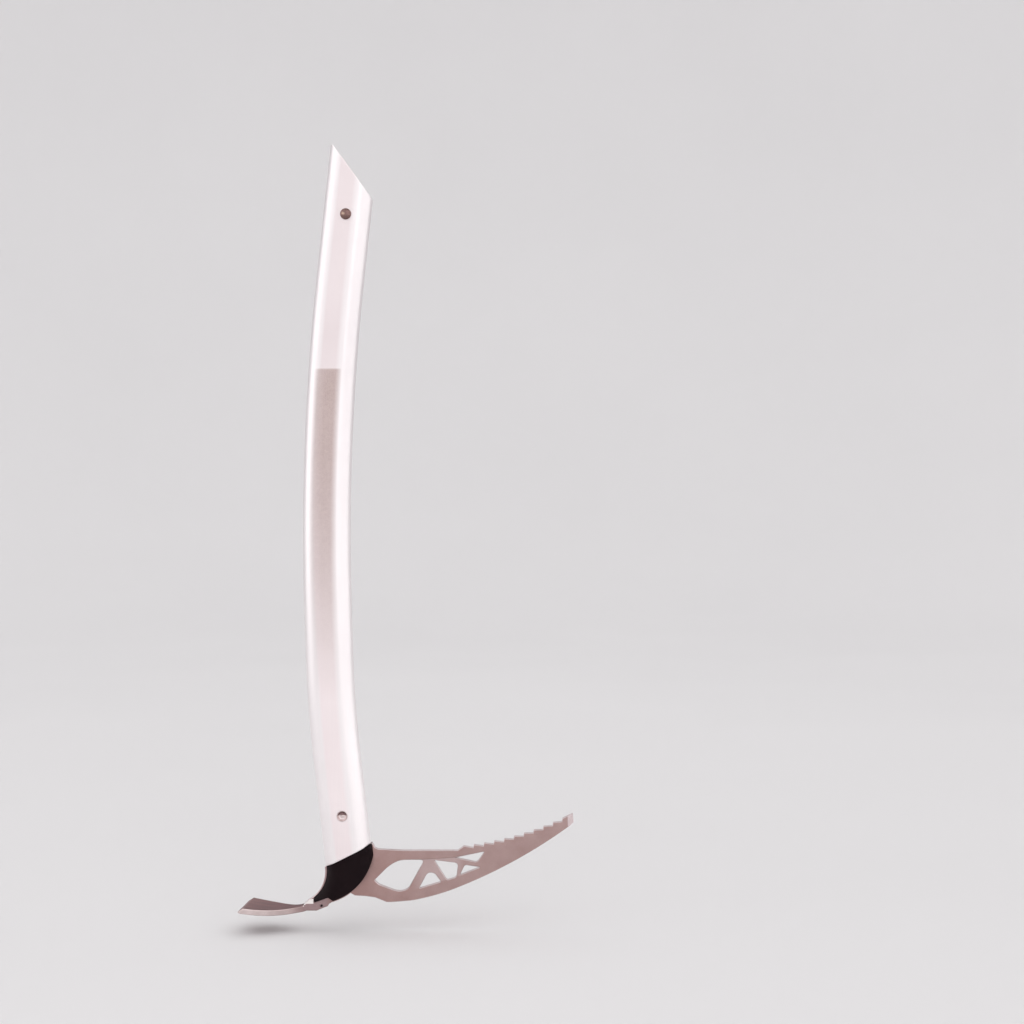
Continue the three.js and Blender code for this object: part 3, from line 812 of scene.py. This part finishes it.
def moulding_height(spot):
    """How far the moulding's face stands from the plate's middle at a place."""
    bulge = SHOULDER - 0.5
    height = INSERT_FACE
    over = (across_shaft(*spot) - SHAFT_FLAT / 2 - PICK_SIDE) / bulge
    if over > 0:
        height = min(height, INSERT_FACE * math.sqrt(max(0, 1 - over * over)))
    x, z, radius = TAIL_ARC
    within = ((spot - Vector((x, z))).length - radius) / SHOULDER
    if within < 1:
        height = min(height, INSERT_FACE * math.sqrt(max(0, 1 - (1 - within) ** 2)))
    x, z, radius = INSERT_ARC
    foot = on_circle(INSERT_ARC, INSERT_TURN[1])
    edge = min(
        radius - (spot - Vector((x, z))).length,
        past_segment(spot, CORNER, NOTCH),
        past_segment(spot, NOTCH, foot),
        past_segment(spot, on_circle(TAIL_ARC, TAIL_TURN[1]), CORNER),
        past_segment(spot, down_tail_side(0), down_pick_side(0)) + 0.25,
    )
    ease = 0.6
    if edge < ease:
        height -= ease - math.sqrt(max(0, ease**2 - (ease - max(0, edge)) ** 2))
    return max(height, PLATE_FACE + GAP + 0.05)


def moulding_body():
    """The part below the shaft's mouth, in front of the plate: a curved face on a flat back."""
    columns, rows = 64, 76
    foot = on_circle(INSERT_ARC, INSERT_TURN[1])
    bend = 0.72

    def eased(share):
        return 0.5 - 0.5 * math.cos(math.pi * share)

    def bottom(u):
        if u < bend:
            return CORNER.lerp(NOTCH, u / bend)
        return NOTCH.lerp(foot, (u - bend) / (1 - bend))

    face, back = [], []
    for row in range(rows + 1):
        v = eased(row / rows)
        for column in range(columns + 1):
            u = eased(column / columns)
            spot = down_tail_side(v).lerp(down_pick_side(v), u)
            spot += (bottom(u) - CORNER.lerp(foot, u)) * v
            face.append((spot.x, -moulding_height(spot), spot.y))
            back.append((spot.x, -PLATE_FACE - GAP, spot.y))
    wide = columns + 1
    count = len(face)
    faces = []
    for row in range(rows):
        for column in range(columns):
            a = row * wide + column
            faces.append((a, a + 1, a + wide + 1, a + wide))
            faces.append((count + a, count + a + wide, count + a + wide + 1, count + a + 1))
    edge = list(range(wide)) + [r * wide + columns for r in range(1, rows + 1)]
    edge += [rows * wide + c for c in range(columns - 1, -1, -1)]
    edge += [r * wide for r in range(rows - 1, 0, -1)]
    for a, b in zip(edge, edge[1:] + edge[:1]):
        faces.append((a, count + a, count + b, b))
    return face + back, faces


def moulding_plug():
    """The part inside the shaft: half of its bore's section, above the mouth."""
    depth_in = SHAFT_WALL + GAP
    deep, bulge = SHAFT_DEPTH / 2 - depth_in, SHOULDER - depth_in
    start = math.asin((PLATE_FACE + GAP) / deep)
    steps = 24
    half = []
    for i in range(steps + 1):
        angle = start + (math.pi - 2 * start) * i / steps
        flat_end = math.copysign(SHAFT_FLAT / 2, math.cos(angle))
        half.append((flat_end + bulge * math.cos(angle), -deep * math.sin(angle)))
    points = []
    for top in (False, True):
        for across, y in half:
            at = PLUG_TOP if top else reach_of(across, MOUTH_AT - 2, MOUTH_SLOPE)
            points.append(on_shaft(at, across, y))
    faces = ring_faces(2, len(half))
    faces += [tuple(reversed(range(len(half)))), tuple(range(len(half), 2 * len(half)))]
    return points, faces


def mouldings(paint):
    x, z, _ = shaft_at(HEAD_RIVET_AT)
    sleeve, seat, peg = SLEEVE_D / 2 + GAP, HEAD_RIVET_R + GAP, PEG_D / 2 + GAP
    whole = held(combined(solid(*moulding_body()), [solid(*moulding_plug())], "UNION"))
    drills = [
        solid(*lathe([(sleeve, -THROUGH), (sleeve, THROUGH)], (x, z))),
        solid(*lathe([(seat, -THROUGH), (seat, GAP - DISH_SEAT)], (x, z))),
    ]
    for place in PEGS:
        drills.append(solid(*lathe([(peg, -PEG_REACH - GAP), (peg, THROUGH)], place)))
    front = combined(whole, drills, "DIFFERENCE")
    back = front.copy()
    for corner in back.vertices:
        corner.co.y *= -1
    outward(back)
    finish_piece("moulding_front", front, [paint], "head_insert_front", 40)
    finish_piece("moulding_back", back, [paint], "head_insert_back", 40)


# ---------------------------------------------------------------- the adze

def bezier(corners, t):
    a, b, c, d = (Vector(corner) for corner in corners)
    s = 1 - t
    return a * s**3 + b * 3 * s * s * t + c * 3 * s * t * t + d * t**3


def bezier_tangent(corners, t):
    a, b, c, d = (Vector(corner) for corner in corners)
    s = 1 - t
    return ((b - a) * s * s + (c - b) * 2 * s * t + (d - c) * t * t).normalized()


def adze_half_width(x):
    """Half the blade's width at a place along X, from the flare's own curve."""
    half = ADZE_WIDTH / 2
    outer = ADZE_EDGE[0] - 1
    flare = [(-61, LUG_FACE), (-70, LUG_FACE), (-75, half - 1), (outer, half)]
    if x >= flare[0][0]:
        return LUG_FACE
    low, high = 0.0, 1.0
    for _ in range(30):
        middle = (low + high) / 2
        if bezier(flare, middle).x > x:
            low = middle
        else:
            high = middle
    return bezier(flare, low).y


def adze_body():
    """The bent blade: rings round its section, from the cutting edge to the lugs."""
    corners = ADZE_LINE
    half = ADZE_THICK / 2 - 0.01
    # The curve sets off at three times its first leg.
    ground = ADZE_BEVEL / (3 * (corners[1][0] - corners[0][0]))
    ease = 0.35
    points = []
    steps = 44
    stations = [0, 0.5 * ground, ground, 1.35 * ground]
    stations += [ground + (1 - ground) * i / steps for i in range(2, steps + 1)]
    for t in stations:
        middle, along = bezier(corners, t), bezier_tangent(corners, t)
        up = Vector((-along.y, along.x))
        share = min(1, t / ground)
        under = -half if t > 0 else ADZE_UNDERCUT - half
        top = (ADZE_UNDERCUT - half + 0.12) * (1 - share) + half * share
        raked = ADZE_RAKE * (ADZE_ROOT[0] - middle.x) / (ADZE_ROOT[0] - ADZE_EDGE[0])
        front, back = (adze_half_width(x) - 0.04 for x in (middle.x, middle.x + raked))
        e = min(ease, (top - under) * 0.3)
        ring = [
            (-front, under + e), (-front + e, under), (-front * 0.5, under), (0, under),
            (back * 0.5, under), (back - e, under), (back, under + e),
            (back, top - e), (back - e, top), (back * 0.5, top), (0, top),
            (-front * 0.5, top), (-front + e, top), (-front, top - e),
        ]
        for y, off in ring:
            spot = middle + up * off
            outward = (ADZE_ROOT[0] - spot.x) / (ADZE_ROOT[0] - ADZE_EDGE[0])
            shift = ADZE_RAKE * max(0, outward) * (y / ADZE_WIDTH + 0.5)
            points.append((spot.x + shift, y, spot.y))
    columns = 14
    faces = ring_faces(len(stations), columns)
    faces.append(tuple(reversed(range(columns))))
    faces.append(tuple(range(len(points) - columns, len(points))))
    return points, faces


LUG_OUTLINE = [
    (-60, -21.2), (-51.7, -21.2), (-44.6, -18.4), (-42.5, -14.4), (-44.2, -12.7), (-53, -15.95),
    (-53.5, -15.95), (-53.6, -13.7), (-57.3, -15.5), (-58.4, -16.7), (-59.6, -17.6),
]
HEEL_FROM, HEEL_TO, HEEL_Z, HEEL_SLOPE = -58.8, -53.6, -16.9, 52


def heel_wedge(side):
    """What grinds the shoulder off one lug, from the plate's face down to the lug's."""
    reach = 8
    rise = reach * math.tan(math.radians(HEEL_SLOPE))
    near, far, low, high = LUG_FACE - reach, LUG_FACE + reach, HEEL_Z - rise, HEEL_Z + rise
    corners = [(far, low), (near, high), (far, high)]
    points = [(x, side * y, z) for x in (HEEL_FROM, HEEL_TO) for y, z in corners]
    return points, ring_faces(2, 3) + [(2, 1, 0), (3, 4, 5)]


def adze_blade(face_paint, edge_paint, lug_paint, heel_highlight_paint):
    blade = solid(*adze_body())
    lugs = solid(*sheet_solid([LUG_OUTLINE], -LUG_FACE, LUG_FACE, 0.3)[:2])
    lugs = held(combined(lugs, [solid(*heel_wedge(1)), solid(*heel_wedge(-1))], "DIFFERENCE"))
    whole = held(combined(blade, [lugs], "UNION"))
    wide = PLATE_FACE + GAP
    slot = [(ADZE_ROOT[0], -30), (-30, -30), (-30, 0), (ADZE_ROOT[0], 0)]
    cut = solid(*sheet_solid([slot], -wide, wide, 0.02)[:2])
    radius = PIN_D / 2 + GAP
    drill = solid(*lathe([(radius, -20), (radius, 20)], PIN_AT, 32))
    mesh = combined(whole, [cut, drill], "DIFFERENCE")

    def paint_of(face):
        if face.center.x < LUG_OUTLINE[0][0] * MM:
            return 0 if abs(face.normal.z) > 0.8 else 1
        # The heel's upward facet is ground steel, painted brighter still as a painted highlight.
        if face.normal.z > 0.3 and face.center.x < HEEL_TO * MM:
            return 3
        return 2 if abs(face.normal.y) > 0.9 else 1

    paints = [face_paint, edge_paint, lug_paint, heel_highlight_paint]
    finish_piece("adze_steel", mesh, paints, "adze_blade", 28, paint_of)


# ---------------------------------------------------------------- fasteners

def dish_profile(radius, seat, lip, floor, hole=0.0):
    """A dished rivet head: a rim with an eased lip round a hollow with a boss in it."""
    core = max(hole, 0.02)
    ease = 0.2
    points = [(core, seat), (radius, seat), (radius, lip - ease)]
    for i in range(1, 7):
        angle = math.pi * i / 6
        points.append((radius - ease + ease * math.cos(angle), lip - ease + ease * math.sin(angle)))
    inner = radius - 2 * ease
    for i in range(1, 17):
        share = i / 16
        r = inner + (core - inner) * share
        sink = (lip - ease - floor) * math.sin(min(1, 2.2 * share) * math.pi / 2) ** 0.8
        boss = 0.45 * max(0, share - 0.6) / 0.4 if hole == 0 else 0
        points.append((r, lip - ease - sink + boss))
    return points


def dome_profile(radius, seat, height):
    """A low domed head with a short straight rim."""
    points = [(0.02, seat), (radius - 0.1, seat), (radius, seat + 0.12), (radius, seat + 0.35)]
    for i in range(1, 15):
        angle = i / 14 * math.pi / 2
        rise = seat + 0.35 + (height - 0.35) * math.sin(angle)
        points.append((max(0.02, radius * math.cos(angle)), rise))
    return points


def to_front(profile):
    return [(radius, -y) for radius, y in reversed(profile)]


def fastener(name, profile, centre, paint, node, shank=None):
    points, faces = lathe(profile, centre)
    if shank:
        radius, low, high = shank
        more, sides = lathe([(radius, low), (radius, high)], centre, 32)
        faces += [tuple(i + len(points) for i in face) for face in sides]
        points += more
    mesh = bpy.data.meshes.new(name)
    mesh.from_pydata([Vector(p) * MM for p in points], [], faces)
    finish_piece(name, outward(mesh), [paint], node, 40)


# ---------------------------------------------------------------- assembly

aluminium = shaft_paint()
steel_face = steel_face_paint()
steel_edge = ground_paint(
    "head_steel_edge", (0.55, 0.46, 0.46), (0.70, 0.61, 0.61), (0.48, 0.38, 0.375), 0.36
)
# Ground steel painted brighter than the other ground edges: a painted highlight on the heel's
# upward facet.
steel_bare_highlight = ground_paint(
    "head_steel_bare_highlight", (0.74, 0.70, 0.685), (0.82, 0.785, 0.77), (0.69, 0.635, 0.62), 0.42
)
steel_tip = ground_paint(
    "pick_tip_ground", (0.62, 0.53, 0.54), (0.78, 0.68, 0.685), (0.56, 0.45, 0.45), 0.40
)
black = moulding_paint()
head_rivet_place = shaft_at(HEAD_RIVET_AT)[:2]
spike_rivet_place = shaft_at(SPIKE_RIVET_AT)[:2]
rivet_silver = turned_paint(
    "rivet_aluminium", (0.70, 0.59, 0.58), (0.82, 0.73, 0.72), 0.34, head_rivet_place,
    # The dish's upper part gets painted shade.
    hollow=(2.85, (0.22, 0.145, 0.145)),
)
rivet_dark = turned_paint(
    "rivet_bronzed", (0.15, 0.09, 0.085), (0.25, 0.16, 0.145), 0.24, spike_rivet_place,
    # A painted highlight on the dome, left of its centre.
    painted_highlight=((-1.5, 0.1), 1.3, (0.56, 0.42, 0.33)),
)
pin_dark = turned_paint("pin_steel", (0.030, 0.020, 0.020), (0.055, 0.040, 0.040), 0.38, PIN_AT)

shaft_tube(aluminium)
head_plate(steel_face, steel_edge, steel_tip)
adze_blade(adze_face_paint(), adze_edge_paint(), steel_face, steel_bare_highlight)
mouldings(black)

dish = HEAD_RIVET_R, DISH_SEAT, DISH_LIP, DISH_FLOOR
dome = dome_profile(SPIKE_RIVET_R, DOME_SEAT, DOME_HEIGHT)
fastener("head_rivet_dish", to_front(dish_profile(*dish)), head_rivet_place,
         rivet_silver, "head_rivet", (SHANK_R, -DISH_SEAT - 0.5, DISH_SEAT + 1.2))
fastener("head_rivet_ring", dish_profile(*dish, SHANK_R + GAP), head_rivet_place,
         rivet_silver, "head_rivet_collar")
fastener("spike_rivet_dome", to_front(dome), spike_rivet_place,
         rivet_dark, "spike_rivet", (SHANK_R, -DOME_SEAT - 0.5, DOME_SEAT + 0.4))
fastener("spike_rivet_back_dome", dome, spike_rivet_place,
         rivet_dark, "spike_rivet_cap")
pin_end = [(PIN_D / 2, LUG_FACE - 0.15), (PIN_D / 2 - 0.15, LUG_FACE)]
fastener("adze_cross_pin", to_front(pin_end) + pin_end, PIN_AT,
         pin_dark, "adze_pin")

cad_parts["spike_plug"].data.materials[0] = black
for node in ("insert_peg_upper", "insert_peg_lower", "head_rivet_sleeve", "spike_rivet_sleeve"):
    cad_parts[node].data.materials[0] = rivet_dark

# ---------------------------------------------------------------- floor, light, camera

FLOOR_Z = -34


def studio_floor():
    """A pale floor that curves up into a wall far outside the object, all the way round."""
    p = Paint("studio_floor")
    pale = p.ramp(p.noise(900, 2), (0.3, (0.815, 0.81, 0.815)), (0.7, (0.835, 0.83, 0.835)))
    p.set(Base_Color=pale, Roughness=0.9, Specular_IOR_Level=0.1)
    flat, curve, wall_top, sides = 2500, 2000, 3500, 96
    profile = [(1, 0), (1500, 0), (flat, 0)]
    for i in range(1, 17):
        angle = math.pi / 2 * i / 16
        profile.append((flat + curve * math.sin(angle), curve - curve * math.cos(angle)))
    profile.append((flat + curve, wall_top))
    points = []
    for radius, rise in profile:
        for i in range(sides):
            angle = math.tau * i / sides
            points.append((radius * math.cos(angle), radius * math.sin(angle), rise + FLOOR_Z))
    faces = ring_faces(len(profile), sides)
    faces.append(tuple(reversed(range(sides))))
    mesh = bpy.data.meshes.new("floor")
    mesh.from_pydata([Vector(c) * MM for c in points], [], faces)
    mesh.shade_smooth()
    mesh.materials.append(p.material)
    floor = bpy.data.objects.new("floor", mesh)
    bpy.context.scene.collection.objects.link(floor)


def studio_world():
    world = bpy.data.worlds.new("studio")
    world.use_nodes = True
    background = world.node_tree.nodes["Background"]
    background.inputs["Color"].default_value = (1, 0.985, 0.99, 1)
    background.inputs["Strength"].default_value = 1.0
    bpy.context.scene.world = world


def soft_light(name, turn, distance, height, size, power, on_floor=True):
    """A soft panel that faces the axe. turn is degrees round from the front, + to the pick."""
    lamp = bpy.data.lights.new(name, "AREA")
    lamp.shape = "RECTANGLE"
    lamp.size, lamp.size_y = size
    lamp.energy = power
    lamp.color = (1, 0.985, 0.985)
    light = bpy.data.objects.new(name, lamp)
    angle = math.radians(turn)
    light.location = (distance * math.sin(angle), -distance * math.cos(angle), height)
    aim = Vector((0, 0, 0.2)) - light.location
    light.rotation_mode = "QUATERNION"
    light.rotation_quaternion = aim.to_track_quat("-Z", "Y")
    light.visible_camera = False
    light.visible_diffuse = on_floor
    bpy.context.scene.collection.objects.link(light)


studio_floor()
studio_world()
soft_light("front_light", -7, 2.4, 1.0, (3.2, 2.0), 10.8)
soft_light("right_card", 68, 1.8, 0.9, (5.0, 2.4), 24, on_floor=False)
soft_light("left_card", -78, 1.8, 0.9, (2.4, 2.4), 13.2, on_floor=False)

scene = bpy.context.scene
scene.view_settings.view_transform = "Standard"
lens = bpy.data.cameras.new("camera")
lens.lens = 62.3
camera = bpy.data.objects.new("camera", lens)
camera.location = (0.070, -1.107, 0.2269)
camera.rotation_euler = (math.radians(90), 0, 0)
scene.collection.objects.link(camera)
scene.camera = camera
